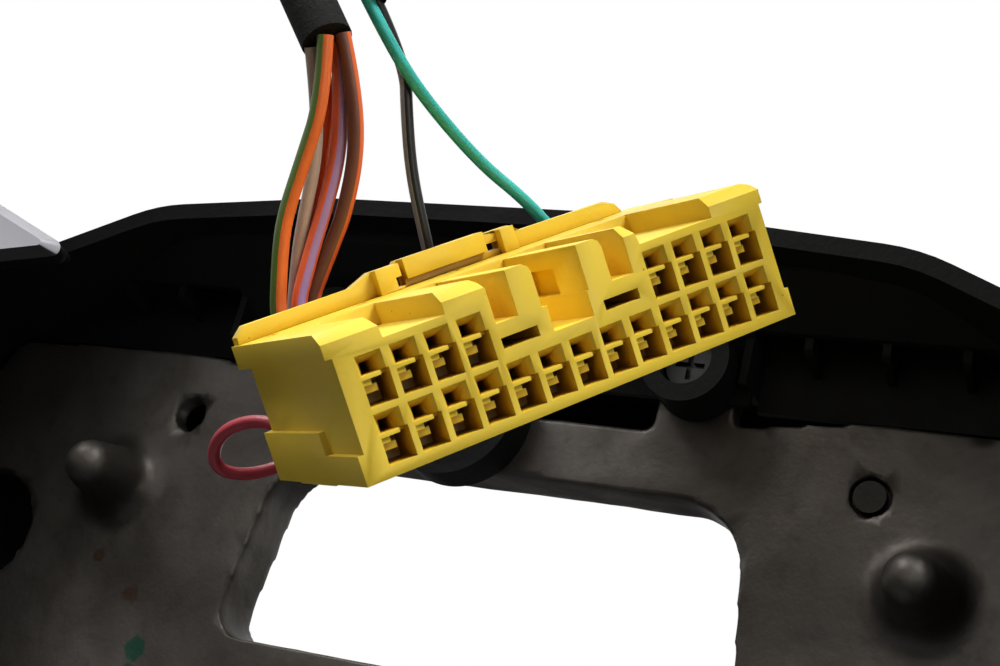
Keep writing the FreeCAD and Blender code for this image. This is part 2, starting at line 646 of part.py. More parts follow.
def make_bezel(start):
    outline = along_spoke([(start, *SPOKE_OUTLINE[0][1:])] + SPOKE_OUTLINE[1:])
    plate = slab(outline, 0, size.bezel_thickness)
    crown = Part.makeLoft([outline_xz(inset(outline, 1.6), -1.4), outline_xz(outline, 0)], True, True)
    window = slab(inset(along_spoke(POD_OUTLINE), -size.fit_gap), -3, size.bezel_thickness + 1)
    trim = plate.fuse(crown).cut(window)
    return end_at_rim(in_frame(trim, side_frame))


UPPER_KEY = (115.0, 58.0)
LOWER_KEY = (122.0, -2.0)
ROLLER = (121.0, 29.0)


def key_outline(grow=0.0):
    half_length, half_height = size.key_length / 2 + grow, size.key_height / 2 + grow
    return [(-half_length, half_height, 3), (half_length, half_height, 3),
            (half_length, -half_height, 3), (-half_length, -half_height, 3)]


def at_face(x, z):
    """A place on the side spoke's face, for a piece modelled about its own centre."""
    return side_frame.multiply(FreeCAD.Placement(Vector((out_along(x) - size.spoke_x) / side_cos, 0, z),
                                                 FreeCAD.Rotation()))


def key_form():
    """A push key: a dished, rounded cap on a straight shank."""
    stem = slab(key_outline(), -1.0, size.key_depth - 1.5)
    cap = Part.makeLoft([outline_xz(inset(key_outline(), 1.0), -1.8), outline_xz(key_outline(), -1.0)],
                        True, True)
    dish = Part.makeSphere(60, Vector(0, -61.0, 0))
    return clean(stem.fuse(cap).cut(dish))


def roller_form():
    """A ribbed thumb roller on two trunnions, turned about local x."""
    half = size.roller_width / 2
    drum = Part.makeCylinder(size.roller_radius, size.roller_width, Vector(-half, 0, 0), AXIS_X)
    pins = Part.makeCylinder(size.trunnion_radius, size.roller_width + 5, Vector(-half - 2.5, 0, 0), AXIS_X)
    grooves = []
    count = 18
    for i in range(count):
        angle = 2 * math.pi * i / count
        centre = Vector(-half + 1, math.cos(angle) * (size.roller_radius + 0.35),
                        math.sin(angle) * (size.roller_radius + 0.35))
        grooves.append(Part.makeCylinder(0.8, size.roller_width - 2, centre, AXIS_X))
    return clean(drum.cut(Part.makeCompound(grooves)).fuse(pins))


ROLLER_SINK = 4.2


def make_switch_housing():
    shell = slab(along_spoke(POD_OUTLINE), 0.4, size.housing_depth)
    shell = in_frame(shell, side_frame)
    pocket = slab(key_outline(size.fit_gap), -3, size.key_depth - 1.5 + size.key_travel + 0.4)
    cuts = [in_frame(pocket, at_face(*UPPER_KEY)), in_frame(pocket, at_face(*LOWER_KEY))]
    half = size.roller_width / 2 + size.fit_gap
    reach = size.roller_radius + 0.6
    well = block(-half, half, -3, ROLLER_SINK + reach, -reach, reach)
    bearing = Part.makeCylinder(size.trunnion_radius + size.running_gap, size.roller_width + 5.6,
                                Vector(-size.roller_width / 2 - 2.8, ROLLER_SINK, 0), AXIS_X)
    cuts += [in_frame(well, at_face(*ROLLER)), in_frame(bearing, at_face(*ROLLER))]
    return clean(shell.cut(Part.makeCompound(cuts)))


add_shape("right_spoke_bezel", make_bezel(size.right_trim_start))
add_shape("left_spoke_bezel", make_bezel(size.left_trim_start).mirror(ORIGIN, AXIS_X))
pair("switch_housing", make_switch_housing())
pair("upper_key", in_frame(key_form(), at_face(*UPPER_KEY)))
pair("lower_key", in_frame(key_form(), at_face(*LOWER_KEY)))
roller_seat = at_face(*ROLLER).multiply(FreeCAD.Placement(Vector(0, ROLLER_SINK, 0), FreeCAD.Rotation()))
pair("thumb_roller", in_frame(roller_form(), roller_seat))
for name, (x, z) in (("upper_key", UPPER_KEY), ("lower_key", LOWER_KEY)):
    place = at_face(x, z).Base
    print(name, "face centre", [round(v, 3) for v in place])
print("roller centre", [round(v, 3) for v in roller_seat.Base])
print("spoke normal", [round(v, 5) for v in side_frame.Rotation.multVec(AXIS_Y)],
      "spoke line", [round(v, 5) for v in side_frame.Rotation.multVec(AXIS_X)])


def make_lower_trim():
    outline = LOWER_OUTLINE
    plate = slab(outline, 0, size.bezel_thickness)
    crown = Part.makeLoft([outline_xz(inset(outline, 1.6), -1.4), outline_xz(outline, 0)], True, True)
    deep = -60 * lower_stretch
    opening = slab([(-22, -16, 6), (22, -16, 6), (17, deep, 6), (-17, deep, 6)], -3, 1.2)
    return end_at_rim(in_frame(plate.fuse(crown).cut(opening), lower_frame))


add_shape("lower_spoke_trim", make_lower_trim())

# The plug, in its own frame: x along the rows, y up, z out of the mating face
plug_frame = FreeCAD.Placement(
    Vector(size.plug_x, size.plug_y, size.plug_z),
    FreeCAD.Rotation(size.plug_yaw, size.plug_pitch, size.plug_roll),
)
CELL_COUNT = 13
UPPER_CELLS = (0, 1, 2, 3, 9, 10, 11, 12)
BLIND_CELLS = ((9, 1), (10, 0))


def bar(u0, u1, v0, v1, w0, w1):
    return Part.makeBox(u1 - u0, v1 - v0, w1 - w0, Vector(u0, v0, w0))


def plug_profile(points, w0, w1):
    """A polygon of (u, v) points, solid from one depth to another."""
    corners = [Vector(u, v, w0) for u, v in points]
    return Part.Face(Part.makePolygon(corners + corners[:1])).extrude(Vector(0, 0, w1 - w0))


def funnel(u, v):
    """The tapered mouth above each cell, down to a square hole."""
    mouth = [Vector(u - 0.25, v + 3.45, 0.01), Vector(u + 2.75, v + 3.45, 0.01),
             Vector(u + 2.75, v + 5.6, 0.01), Vector(u - 0.25, v + 5.6, 0.01)]
    floor = [Vector(u + 0.65, v + 3.5, -1.7), Vector(u + 1.85, v + 3.5, -1.7),
             Vector(u + 1.85, v + 4.7, -1.7), Vector(u + 0.65, v + 4.7, -1.7)]
    wires = [Part.makePolygon(ring + ring[:1]) for ring in (mouth, floor)]
    return Part.makeLoft(wires, True, True)


def cell_cuts(column, tier):
    """Everything cut for one terminal: recess, funnel, square hole and the bore from behind."""
    u, v = column * size.cell_pitch, tier * size.row_pitch
    recess = bar(u - 0.2, u + 3.05, v + 0.1, v + 3.0, -4.5, 0.1)
    lance = bar(u - 0.2, u + 0.85, v + 2.4, v + 3.0, -4.5, -0.25)
    finger = bar(u - 0.2, u + 1.7, v + 1.5, v + 2.3, -4.5, -1.2)
    step = bar(u + 2.05, u + 3.05, v + 2.95, v + 3.5, -1.2, 0.1)
    back = bar(u + 0.1, u + 2.5, v + 2.2, v + 5.0, -size.plug_depth - 3, -13)
    cuts = [recess.cut(lance).cut(finger), funnel(u, v), step, back]
    hole_end = -3.0 if (column, tier) in BLIND_CELLS else -13.1
    cuts.append(bar(u + 0.65, u + 1.85, v + 3.5, v + 4.7, hole_end, -1.6))
    return cuts


def plug_blocks():
    """Body, side bands, deck and the blocks that stand on it."""
    deck, depth = size.plug_deck, size.plug_depth
    body = bar(-2.5, 52.6, -1.1, 12.7, -depth, 0)
    band_low = bar(-3.2, 53.1, -1.1, 2.15, -depth - 1, 0)
    band_back = bar(-3.2, 53.1, 2.1, 4.7, -depth - 1, -9.2)
    rear_deck = bar(-3.3, 53.1, 12.4, deck, -depth - 2, -17.5)
    corner = plug_profile([(-3.3, 12.4), (3.45, 12.4), (3.3, 14.0), (2.6, deck), (-3.3, deck)], -18, 0)
    block_b = plug_profile([(10.8, 12), (16.1, 9), (16.1, 13.8), (15.8, 14.6), (15.2, deck), (10.8, deck)],
                           -18, 0)
    block_c = plug_profile([(18.9, 9), (21.9, 9), (21.9, 13.9), (21.65, 14.6), (21.0, deck - 0.2),
                            (18.9, deck - 0.2)], -18, 0)
    block_d = plug_profile([(28.0, 9), (31.1, 9), (31.1, 13.9), (30.85, 14.6), (30.2, deck - 0.2),
                            (28.0, deck - 0.2)], -18, 0)
    block_e = plug_profile([(34.0, 9), (35.8, 9), (35.8, 13.0), (35.5, 14.2), (34.9, deck), (34.0, deck)],
                           -18, 0)
    end_block = plug_profile([(45.9, 12), (53.1, 12.4), (53.1, 14.0), (52.7, 14.8), (51.8, deck),
                              (45.9, deck)], -18, 0)
    feet = plug_profile([(-2.0, -1.1), (8.0, -1.1), (7.2, -2.2), (-1.2, -2.2)], -26, -15)
    return body.multiFuse([band_low, band_back, rear_deck, corner, block_b, block_c, block_d, block_e,
                           end_block, feet])


def make_plug_housing():
    deck, depth = size.plug_deck, size.plug_depth
    cuts = []
    for column in range(CELL_COUNT):
        for tier in (0, 1):
            if tier == 0 or column in UPPER_CELLS:
                cuts += cell_cuts(column, tier)
    # Channels that open upwards between the blocks
    cuts.append(bar(16.1, 18.9, 9.95, deck + 1, -17.5, 1))
    cuts.append(bar(31.1, 34.0, 9.95, deck + 1, -17.5, 1))
    cuts.append(bar(22.45, 27.7, 7.0, 10.0, -16, 1))
    cuts.append(bar(21.9, 28.0, 9.9, deck + 1, -17.5, 1))
    cuts.append(bar(27.9, 29.6, 9.9, 12.9, -14, -6.5))
    cuts.append(bar(16.1, 20.7, 7.1, 8.3, -12, 1))
    cuts.append(bar(29.3, 33.9, 7.05, 8.25, -12, 1))
    # Slots in the rear deck
    for u0, u1 in ((-0.4, 1.0), (11.2, 12.8), (22.6, 25.6), (45.3, 46.8)):
        cuts.append(bar(u0, u1, 12.9, deck + 1, -25.5, -23.2))
    # Sloping front edge of the deck's blocks
    for u0, u1 in ((-3.5, 16.1), (34.0, 53.3)):
        edge = [Vector(u0, 14.0, 0.01), Vector(u0, deck + 0.2, 0.01), Vector(u0, deck + 0.2, -1.6)]
        cuts.append(Part.Face(Part.makePolygon(edge + edge[:1])).extrude(Vector(u1 - u0, 0, 0)))
    return clean(plug_blocks().cut(Part.makeCompound(cuts)))


def make_plug_retainer():
    """The comb along the back of the deck that locks the terminals, with its two hooks."""
    deck, rear = size.plug_deck, -size.plug_depth - 2
    high = deck + 3.1
    wall = plug_profile([(-2.9, deck), (-2.9, deck + 0.9), (-1.6, deck + 2), (12.2, deck + 2),
                         (15.2, high), (18.6, high), (18.9, high + 0.3), (30.5, high + 0.3), (30.5, high),
                         (34.6, high), (36.0, deck + 2.1), (48.6, deck + 2), (50.2, deck + 1.3),
                         (51.0, deck)], rear, rear + 1.8)
    hooks = bar(15.2, 18.4, deck, high, rear + 1.5, rear + 3.2)
    second = bar(32.6, 34.6, deck, high - 0.1, rear + 1.5, rear + 3.2)
    centre = bar(19.2, 30.5, deck + 0.9, high + 0.3, rear + 1.5, rear + 2.8)
    gaps = [bar(18.4, 19.2, deck + 1.3, high + 1, rear + 1.0, rear + 4),
            bar(17.6, 19.2, deck + 0.3, deck + 1.5, rear - 1, rear + 4),
            bar(30.5, 32.6, deck + 0.8, deck + 1.7, rear - 1, rear + 4)]
    return clean(wall.multiFuse([hooks, second, centre]).cut(Part.makeCompound(gaps)))


WIRED_CELLS = {
    "orange_green": (1, 1), "beige": (1, 0), "orange_violet": (2, 1), "orange": (2, 0),
    "brown": (3, 1), "black_grey": (6, 0), "teal": (11, 1), "red": (0, 0),
}
CONTACT_FRONT, CONTACT_BACK = -14.0, -22.0


def make_terminals():
    """One crimped contact in each wired cell."""
    contacts = []
    for column, tier in sorted(set(WIRED_CELLS.values()) | {(0, 1), (4, 0)}):
        u, v = column * size.cell_pitch, tier * size.row_pitch
        contacts.append(bar(u + 0.3, u + 2.3, v + 2.6, v + 4.6, CONTACT_BACK, CONTACT_FRONT))
    return Part.makeCompound(contacts)


plug_shape = make_plug_housing()
add_shape("plug_housing", plug_shape, plug_frame)
add_shape("plug_retainer", make_plug_retainer(), plug_frame)
add_shape("plug_terminals", make_terminals(), plug_frame)


# Looms and wires: plain tubes of straight runs joined by arcs
def cord_path(name, points):
    """The wire of runs and arcs, its length, and the smallest arc, for a list of points."""
    edges, radii = [], []
    here = points[0]
    for before, corner, after in zip(points, points[1:], points[2:]):
        back = (before - corner).normalize()
        on = (after - corner).normalize()
        half = (math.pi - back.getAngle(on)) / 2
        reach = 0.45 * min((before - corner).Length, (after - corner).Length)
        radius = reach / math.tan(half)
        radii.append(radius)
        start, end = corner + back * reach, corner + on * reach
        bisector = (back + on).normalize()
        middle = corner + bisector * (radius / math.cos(half) - radius)
        edges.append(Part.LineSegment(here, start).toShape())
        edges.append(Part.Arc(start, middle, end).toShape())
        here = end
    edges.append(Part.LineSegment(here, points[-1]).toShape())
    wire = Part.Wire(edges)
    print(f"{name}: length {wire.Length:.1f}, radii", [round(r, 1) for r in radii])
    return wire


def make_cord(label, points, diameter, loom=None):
    """A plain tube along the points; it ends at the face of the loom it runs into."""
    points = [Vector(*p) for p in points]
    path = cord_path(label, points)
    circle = Part.Circle(points[0], points[1] - points[0], diameter / 2)
    tube = path.makePipe(Part.Face(Part.Wire(circle.toShape())))
    section = math.pi * diameter ** 2 / 4
    print(f"  volume {tube.Volume:.1f}, section times length {section * path.Length:.1f}")
    if loom is not None:
        tube = clean(tube.cut(loom))
    return add_shape(label, tube).Shape


# How far a wire bends along the rows and back behind the plug, where it doesn't rise straight
EXIT_BENDS = {"orange_green": (-0.3, 0), "orange_violet": (-2.2, 0.1), "brown": (-4.2, 1.6),
              "black_grey": (2.2, 0)}


def at_plug(u, v, w):
    return tuple(plug_frame.multVec(Vector(u, v, w)))


def cell_exit(name):
    """First points of a wire: in its cell, straight out of the back, then up behind the rail."""
    column, tier = WIRED_CELLS[name]
    u, v = column * size.cell_pitch + 1.3, tier * size.row_pitch + 3.6
    if name == "red":
        return [at_plug(u, v, CONTACT_BACK), at_plug(u, v, -30.3)]
    aside, behind = EXIT_BENDS.get(name, (0, 0))
    if tier:
        return [at_plug(u, v, CONTACT_BACK), at_plug(u, v, -30.3),
                at_plug(u - 0.4 + aside, v + 5.2, -34.2 - behind)]
    return [at_plug(u, v, CONTACT_BACK), at_plug(u, v, -31.2),
            at_plug(u - 0.3 + aside, v + 5.6, -36.8 - behind)]


LEFT_LOOM = [(0.1, -72.2, 88.5), (-9.8, -74.0, 101.9), (-20.0, -75.5, 114.5), (-36.0, -75.0, 125.5),
             (-56.0, -72.0, 127.0), (-75.0, -66.5, 114.0), (-86.0, -58.5, 86.0), (-88.0, -48.0, 56.0),
             (-85.0, -37.0, 28.0), (-82.0, -26.5, 4.0), (-80.5, -21.5, -9.0), (-80.5, -12.0, -12.0)]
RIGHT_LOOM = [(1.7, -68.7, 97.1), (3.4, -69.6, 110.3), (14.0, -72.5, 124.5), (35.0, -74.0, 134.0),
              (60.0, -72.5, 131.0), (82.0, -68.0, 115.0), (94.0, -60.5, 88.0), (96.0, -51.0, 58.0),
              (91.0, -40.5, 30.0), (85.0, -29.0, 5.0), (80.5, -21.5, -9.0), (80.5, -12.0, -12.0)]
LEFT_WIRES = {
    "orange_green": [(-2.6, -64.6, 62.5), (-2.3, -66.7, 67.4), (-0.6, -68.8, 74.1), (1.2, -71.1, 81.1),
                     (1.0, -74.1, 88.1)],
    "beige": [(-2.7, -61.2, 64.6), (-1.9, -63.4, 69.3), (-0.7, -66.4, 76.5), (-1.1, -69.7, 82.9),
              (-1.4, -72.9, 87.2)],
    "orange_violet": [(-0.6, -61.7, 65.3), (0.4, -63.0, 70.1), (1.5, -65.0, 76.9), (1.2, -67.5, 83.1),
                      (0.5, -70.5, 89.7)],
    "orange": [(-3.0, -59.6, 65.8), (-2.0, -61.3, 70.4), (-1.3, -64.0, 76.7), (-0.8, -67.2, 83.9),
               (-1.5, -70.8, 88.2)],
    "brown": [(1.0, -60.3, 66.3), (2.6, -61.9, 70.8), (3.8, -64.9, 77.7), (3.3, -68.9, 84.4),
              (1.9, -72.2, 89.6)],
}
RIGHT_WIRES = {
    "black_grey": [(7.4, -51.5, 74.4), (5.9, -55.2, 80.2), (5.2, -58.6, 86.2), (4.5, -61.1, 92.1),
                   (2.1, -67.8, 97.1)],
    "teal": [(16.4, -43.5, 82.6), (11.8, -49.1, 84.7), (7.1, -59.1, 88.5), (4.6, -65.8, 92.0),
             (1.3, -69.6, 97.1)],
}
THICK_WIRES = ("orange_green", "orange_violet", "brown")
RED_LOOP = [(-4.3, -58.6, 44.5), (-8.8, -58.1, 41.9), (-9.8, -55.0, 38.5), (-6.6, -51.3, 39.3),
            (-2.0, -49.2, 42.9), (3.1, -46.8, 46.7)]
left_loom = make_cord("left_loom", LEFT_LOOM, size.left_loom_diameter)
right_loom = make_cord("right_loom", RIGHT_LOOM, size.right_loom_diameter)
for routes, loom in ((LEFT_WIRES, left_loom), (RIGHT_WIRES, right_loom)):
    for name, route in routes.items():
        diameter = size.thick_wire_diameter if name in THICK_WIRES else size.wire_diameter
        make_cord("wire_" + name, cell_exit(name) + route, diameter, loom)
make_cord("wire_red", cell_exit("red") + RED_LOOP, size.wire_diameter)


def make_loom_clip(points, loom):
    """A clip on the hub plate that holds the end of a loom."""
    x, y, z = points[-1]
    return clean(block(x - 6, x + 6, y - 1, 0, z - 6, z + 6).cut(loom))


add_shape("left_loom_clip", make_loom_clip(LEFT_LOOM, left_loom))
add_shape("right_loom_clip", make_loom_clip(RIGHT_LOOM, right_loom))

doc.recompute()
for thing in doc.Objects:
    if "Invalid" in thing.State or "Error" in thing.State:
        raise RuntimeError(f"{thing.Label} failed: {thing.State}")
for thing in subparts:
    shape = thing.Shape
    if shape.isNull() or not shape.isValid():
        raise RuntimeError(f"{thing.Label} has no valid shape")
    if not shape.Solids:
        raise RuntimeError(f"{thing.Label} holds no solid")
    print(f"{thing.Label}: {len(shape.Solids)} solid(s), {shape.Volume / 1000:.2f} cm3,"
          f" box {shape.BoundBox}")
    shape.exportStep(f"parts/{thing.Label}.step")
print(len(subparts), "sub-parts written")
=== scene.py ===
import bpy
import bmesh
import json
import math
from mathutils import Matrix, Vector


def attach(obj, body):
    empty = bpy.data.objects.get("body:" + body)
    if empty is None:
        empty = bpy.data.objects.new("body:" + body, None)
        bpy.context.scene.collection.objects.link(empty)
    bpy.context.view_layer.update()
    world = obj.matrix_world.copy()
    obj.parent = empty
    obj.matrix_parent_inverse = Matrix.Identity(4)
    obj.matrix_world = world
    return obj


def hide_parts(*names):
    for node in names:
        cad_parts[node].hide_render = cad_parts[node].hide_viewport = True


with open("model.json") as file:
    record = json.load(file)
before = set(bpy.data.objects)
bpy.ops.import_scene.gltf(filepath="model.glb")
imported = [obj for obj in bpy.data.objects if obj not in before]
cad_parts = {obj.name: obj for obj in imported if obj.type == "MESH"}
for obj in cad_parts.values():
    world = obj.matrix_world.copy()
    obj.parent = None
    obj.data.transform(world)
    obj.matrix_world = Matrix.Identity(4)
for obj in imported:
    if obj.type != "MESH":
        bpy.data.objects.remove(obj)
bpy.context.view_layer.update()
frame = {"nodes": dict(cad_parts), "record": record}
scene = bpy.context.scene

# Camera: the photograph's place, turn and lens
PHOTO_WIDTH = 1000
FOCAL_PIXELS = 1663.8
camera_data = bpy.data.cameras.new("camera")
camera = bpy.data.objects.new("camera", camera_data)
scene.collection.objects.link(camera)
camera_data.sensor_width = 36.0
camera_data.lens = FOCAL_PIXELS * 36.0 / PHOTO_WIDTH
camera_data.clip_start = 0.01
camera_data.clip_end = 50
camera.matrix_world = Matrix((
    (0.898972, -0.079258, 0.430775, 0.107738),
    (0.370947, -0.385210, -0.844992, -0.220000),
    (0.232911, 0.919419, -0.316892, -0.002335),
    (0, 0, 0, 1),
))
scene.camera = camera
scene.view_settings.view_transform = "Standard"


# Materials
class Graph:
    """A material's nodes, with one short call for each kind."""

    def __init__(self, name):
        self.material = bpy.data.materials.new(name)
        self.material.use_nodes = True
        self.tree = self.material.node_tree
        self.tree.nodes.clear()
        self.output = self.tree.nodes.new("ShaderNodeOutputMaterial")
        self.shader = self.tree.nodes.new("ShaderNodeBsdfPrincipled")
        self.link(self.shader.outputs[0], self.output.inputs[0])

    def node(self, kind, **settings):
        made = self.tree.nodes.new("ShaderNode" + kind)
        for key, value in settings.items():
            setattr(made, key, value)
        return made

    def link(self, source, target):
        self.tree.links.new(source, target)

    def feed(self, socket, value):
        if hasattr(value, "links"):
            self.link(value, socket)
        elif value is not None:
            socket.default_value = value

    def place(self, stretch=(1, 1, 1)):
        """Object coordinates in metres, stretched."""
        source = self.node("TexCoord").outputs["Object"]
        if stretch == (1, 1, 1):
            return source
        mapping = self.node("Mapping")
        mapping.inputs["Scale"].default_value = stretch
        self.link(source, mapping.inputs["Vector"])
        return mapping.outputs[0]

    def noise(self, scale, detail=3.0, roughness=0.5, distortion=0.0, at=None):
        made = self.node("TexNoise")
        made.inputs["Scale"].default_value = scale
        made.inputs["Detail"].default_value = detail
        made.inputs["Roughness"].default_value = roughness
        made.inputs["Distortion"].default_value = distortion
        self.link(at if at is not None else self.place(), made.inputs["Vector"])
        return made.outputs[0]

    def cells(self, scale):
        made = self.node("TexVoronoi", feature="F1")
        made.inputs["Scale"].default_value = scale
        self.link(self.place(), made.inputs["Vector"])
        return made.outputs[0]

    def ramp(self, value, stops):
        made = self.node("ValToRGB")
        elements = made.color_ramp.elements
        while len(elements) < len(stops):
            elements.new(0.5)
        for element, (position, colour) in zip(elements, stops):
            element.position = position
            element.color = colour if len(colour) == 4 else (*colour, 1)
        self.link(value, made.inputs[0])
        return made.outputs[0]

    def level(self, value, low, high, out_low=0.0, out_high=1.0):
        made = self.node("MapRange")
        ends = {"From Min": low, "From Max": high, "To Min": out_low, "To Max": out_high}
        for key, number in ends.items():
            made.inputs[key].default_value = number
        self.link(value, made.inputs["Value"])
        return made.outputs[0]

    def mix(self, share, first, second, blend="MIX"):
        made = self.node("Mix", data_type="RGBA", blend_type=blend)
        self.feed(made.inputs[0], share)
        for socket, value in ((made.inputs[6], first), (made.inputs[7], second)):
            if isinstance(value, tuple) and len(value) == 3:
                value = (*value, 1)
            self.feed(socket, value)
        return made.outputs[2]

    def maths(self, operation, *values):
        made = self.node("Math", operation=operation)
        for socket, value in zip(made.inputs, values):
            self.feed(socket, value)
        return made.outputs[0]

    def bump(self, height, distance, strength=1.0, under=None):
        made = self.node("Bump")
        made.inputs["Strength"].default_value = strength
        made.inputs["Distance"].default_value = distance
        self.link(height, made.inputs["Height"])
        if under is not None:
            self.link(under, made.inputs["Normal"])
        return made.outputs[0]

    def finish(self, **sockets):
        names = {"colour": "Base Color", "roughness": "Roughness", "metallic": "Metallic",
                 "normal": "Normal", "specular": "Specular IOR Level", "glow": "Emission Color",
                 "glow_strength": "Emission Strength"}
        for key, value in sockets.items():
            if isinstance(value, tuple) and len(value) == 3:
                value = (*value, 1)
            self.feed(self.shader.inputs[names[key]], value)
        return self.material


def plastic(name, colour, roughness, grain, depth, specular, drift=0.12):
    """Moulded plastic: a fine grain, slight colour drift and uneven gloss."""
    graph = Graph(name)
    wide = graph.noise(38, 4)
    lighter = tuple(min(1, c * (1 + drift)) for c in colour)
    darker = tuple(c * (1 - drift) for c in colour)
    tint = graph.ramp(wide, [(0.3, darker), (0.7, lighter)])
    fine = graph.noise(grain, 2)
    gloss = graph.level(graph.noise(110, 5, 0.6), 0.3, 0.7, roughness - 0.06, roughness + 0.08)
    normal = graph.bump(fine, depth)
    return graph.finish(colour=tint, roughness=gloss, normal=normal, specular=specular)


PAINTED_SHADE_REACH = 0.0045


def plug_plastic(name):
    """Satin yellow moulding with dark specks, with shade painted in by ambient occlusion: orange in its
    recesses and dark in its bores.
    """
    graph = Graph(name)
    tint = graph.ramp(graph.noise(38, 4), [(0.3, (0.81, 0.56, 0.042)), (0.7, (0.86, 0.61, 0.050))])
    # Painted shade: ambient occlusion darkens the colour to orange-brown in the recesses and near black
    # in the bores.
    shade = graph.node("AmbientOcclusion", samples=6)
    shade.inputs["Distance"].default_value = PAINTED_SHADE_REACH
    depth = graph.ramp(shade.outputs["AO"], [(0.03, (0.010, 0.005, 0.002)), (0.13, (0.55, 0.36, 0.15)),
                                             (0.35, (0.90, 0.80, 0.62)), (0.65, (1, 1, 1))])
    colour = graph.mix(1.0, tint, depth, "MULTIPLY")
    specks = graph.level(graph.cells(620), 0.06, 0.10, 0.75, 0.0)
    colour = graph.mix(graph.maths("MULTIPLY", specks, graph.level(graph.noise(90, 2), 0.56, 0.62)),
                       colour, (0.10, 0.055, 0.01))
    gloss = graph.level(graph.noise(110, 5, 0.6), 0.3, 0.7, 0.30, 0.44)
    normal = graph.bump(graph.noise(1500, 2), 0.00002)
    return graph.finish(colour=colour, roughness=gloss, normal=normal, specular=0.3)


def painted_trim(name, colour):
    """Silver paint, with shade painted near black on the faces turned away from the driver and on those
    turned down.
    """
    graph = Graph(name)
    tint = graph.ramp(graph.noise(38, 4), [(0.3, tuple(c * 0.96 for c in colour)), (0.7, colour)])
    facing = graph.node("SeparateXYZ")
    graph.link(graph.node("NewGeometry").outputs["Normal"], facing.inputs[0])
    # Painted shade: faces turned away from the driver and faces turned down are coloured near black.
    painted_shade = graph.maths("MAXIMUM", graph.level(facing.outputs[1], -0.42, -0.30),
                       graph.level(facing.outputs[2], -0.20, -0.32))
    tint = graph.mix(painted_shade, tint, (0.010, 0.010, 0.011))
    return graph.finish(colour=tint, roughness=graph.level(graph.noise(110, 5), 0.3, 0.7, 0.30, 0.42),
                        normal=graph.bump(graph.noise(1600, 2), 0.00002), specular=0.45)


SPOTS = (
    # Marks on the hub plate's face: x, z and radius in metres, colour, strength
    (-0.0660, 0.0352, 0.0012, (0.030, 0.016, 0.008), 0.9),
    (-0.0575, 0.0300, 0.0016, (0.040, 0.018, 0.010), 0.8),
    (-0.0535, 0.0215, 0.0022, (0.004, 0.050, 0.030), 0.85),
    (-0.0532, 0.0175, 0.0020, (0.004, 0.045, 0.028), 0.8),
    (0.0905, 0.0500, 0.0030, (0.020, 0.016, 0.013), 0.6),
)


def cast_metal(name="cast_metal", tone=1.0, highlight_strength=1.0):
    """Die-cast alloy: soft blotches, stains, a few marks, a fine skin, and a highlight painted bright
    along its edges.
    """
    graph = Graph(name)
    blotch = graph.noise(17, 3, 0.5, 0.4)
    stain = graph.noise(60, 5, 0.62, 0.9)
    fine = graph.noise(420, 4, 0.6)
    shades = [(0.30, (0.036, 0.031, 0.026)), (0.48, (0.070, 0.062, 0.054)),
              (0.66, (0.135, 0.124, 0.112))]
    tint = graph.ramp(blotch, [(at, tuple(c * tone for c in shade)) for at, shade in shades])
    cloud = graph.ramp(stain, [(0.34, (0.74, 0.71, 0.68)), (0.55, (1, 1, 1)),
                               (0.72, (1.15, 1.14, 1.13))])
    specks = graph.ramp(fine, [(0.30, (0.72, 0.70, 0.68)), (0.46, (1, 1, 1))])
    colour = graph.mix(0.85, graph.mix(0.6, tint, specks, "MULTIPLY"), cloud, "MULTIPLY")
    place = graph.node("SeparateXYZ")
    graph.link(graph.place(), place.inputs[0])
    for x, z, radius, shade, strength in SPOTS:
        across = graph.maths("POWER", graph.maths("SUBTRACT", place.outputs[0], x), 2.0)
        up = graph.maths("POWER", graph.maths("SUBTRACT", place.outputs[2], z), 2.0)
        far = graph.maths("SQRT", graph.maths("ADD", across, up))
        ragged = graph.maths("ADD", far, graph.level(fine, 0.3, 0.7, -radius * 0.3, radius * 0.3))
        colour = graph.mix(graph.level(ragged, radius * 0.75, radius, strength, 0.0), colour, shade)
    rough = graph.level(stain, 0.3, 0.7, 0.58, 0.40)
    skin = graph.bump(graph.noise(1300, 3, 0.6), 0.00003)
    pits = graph.bump(graph.noise(260, 4, 0.55), 0.00015, 0.6, skin)
    waves = graph.bump(graph.noise(55, 2, 0.4), 0.0014, 0.55, pits)
    # Painted highlight: sharp edges, found by pointiness, are coloured bright in patches that follow
    # the stains.
    painted_highlight_mask = graph.level(graph.node("NewGeometry").outputs["Pointiness"], 0.53, 0.62, 0.0, 1.0)
    painted_highlight = graph.maths("MULTIPLY", painted_highlight_mask, graph.level(stain, 0.3, 0.6, 0.25 * highlight_strength, highlight_strength))
    colour = graph.mix(painted_highlight, colour, (0.46, 0.44, 0.41))
    return graph.finish(colour=colour, roughness=rough, metallic=0.8, normal=waves)


def metal(name, colour, roughness=0.35):
    graph = Graph(name)
    marks = graph.noise(400, 4, 0.6, at=graph.place((1, 0.15, 1)))
    tint = graph.ramp(marks, [(0.3, tuple(c * 0.75 for c in colour)), (0.7, colour)])
    gloss = graph.level(marks, 0.3, 0.7, roughness - 0.08, roughness + 0.1)
    return graph.finish(colour=tint, roughness=gloss, metallic=1.0, normal=graph.bump(marks, 0.00003))


def insulation(name, colour, band=None, band_at=0.0, band_share=0.2):
    """Wire insulation with a coloured band along it, placed by the tube's UV map: a stripe on most
    wires, painted shade on the teal wire.
    """
    graph = Graph(name)
    grime = graph.noise(300, 4, 0.6)
    base = graph.mix(graph.level(grime, 0.3, 0.75, 0.0, 0.35), colour, tuple(c * 0.55 for c in colour))
    if band:
        split = graph.node("SeparateXYZ")
        graph.link(graph.node("UVMap", uv_map="UVMap").outputs[0], split.inputs[0])
        turned = graph.maths("FRACT", graph.maths("SUBTRACT", split.outputs[1], band_at))
        edge = graph.level(turned, band_share, band_share + 0.02, 1.0, 0.0)
        base = graph.mix(edge, base, band)
    return graph.finish(colour=base, roughness=0.38, specular=0.4,
                        normal=graph.bump(graph.noise(1500, 3), 0.00003))


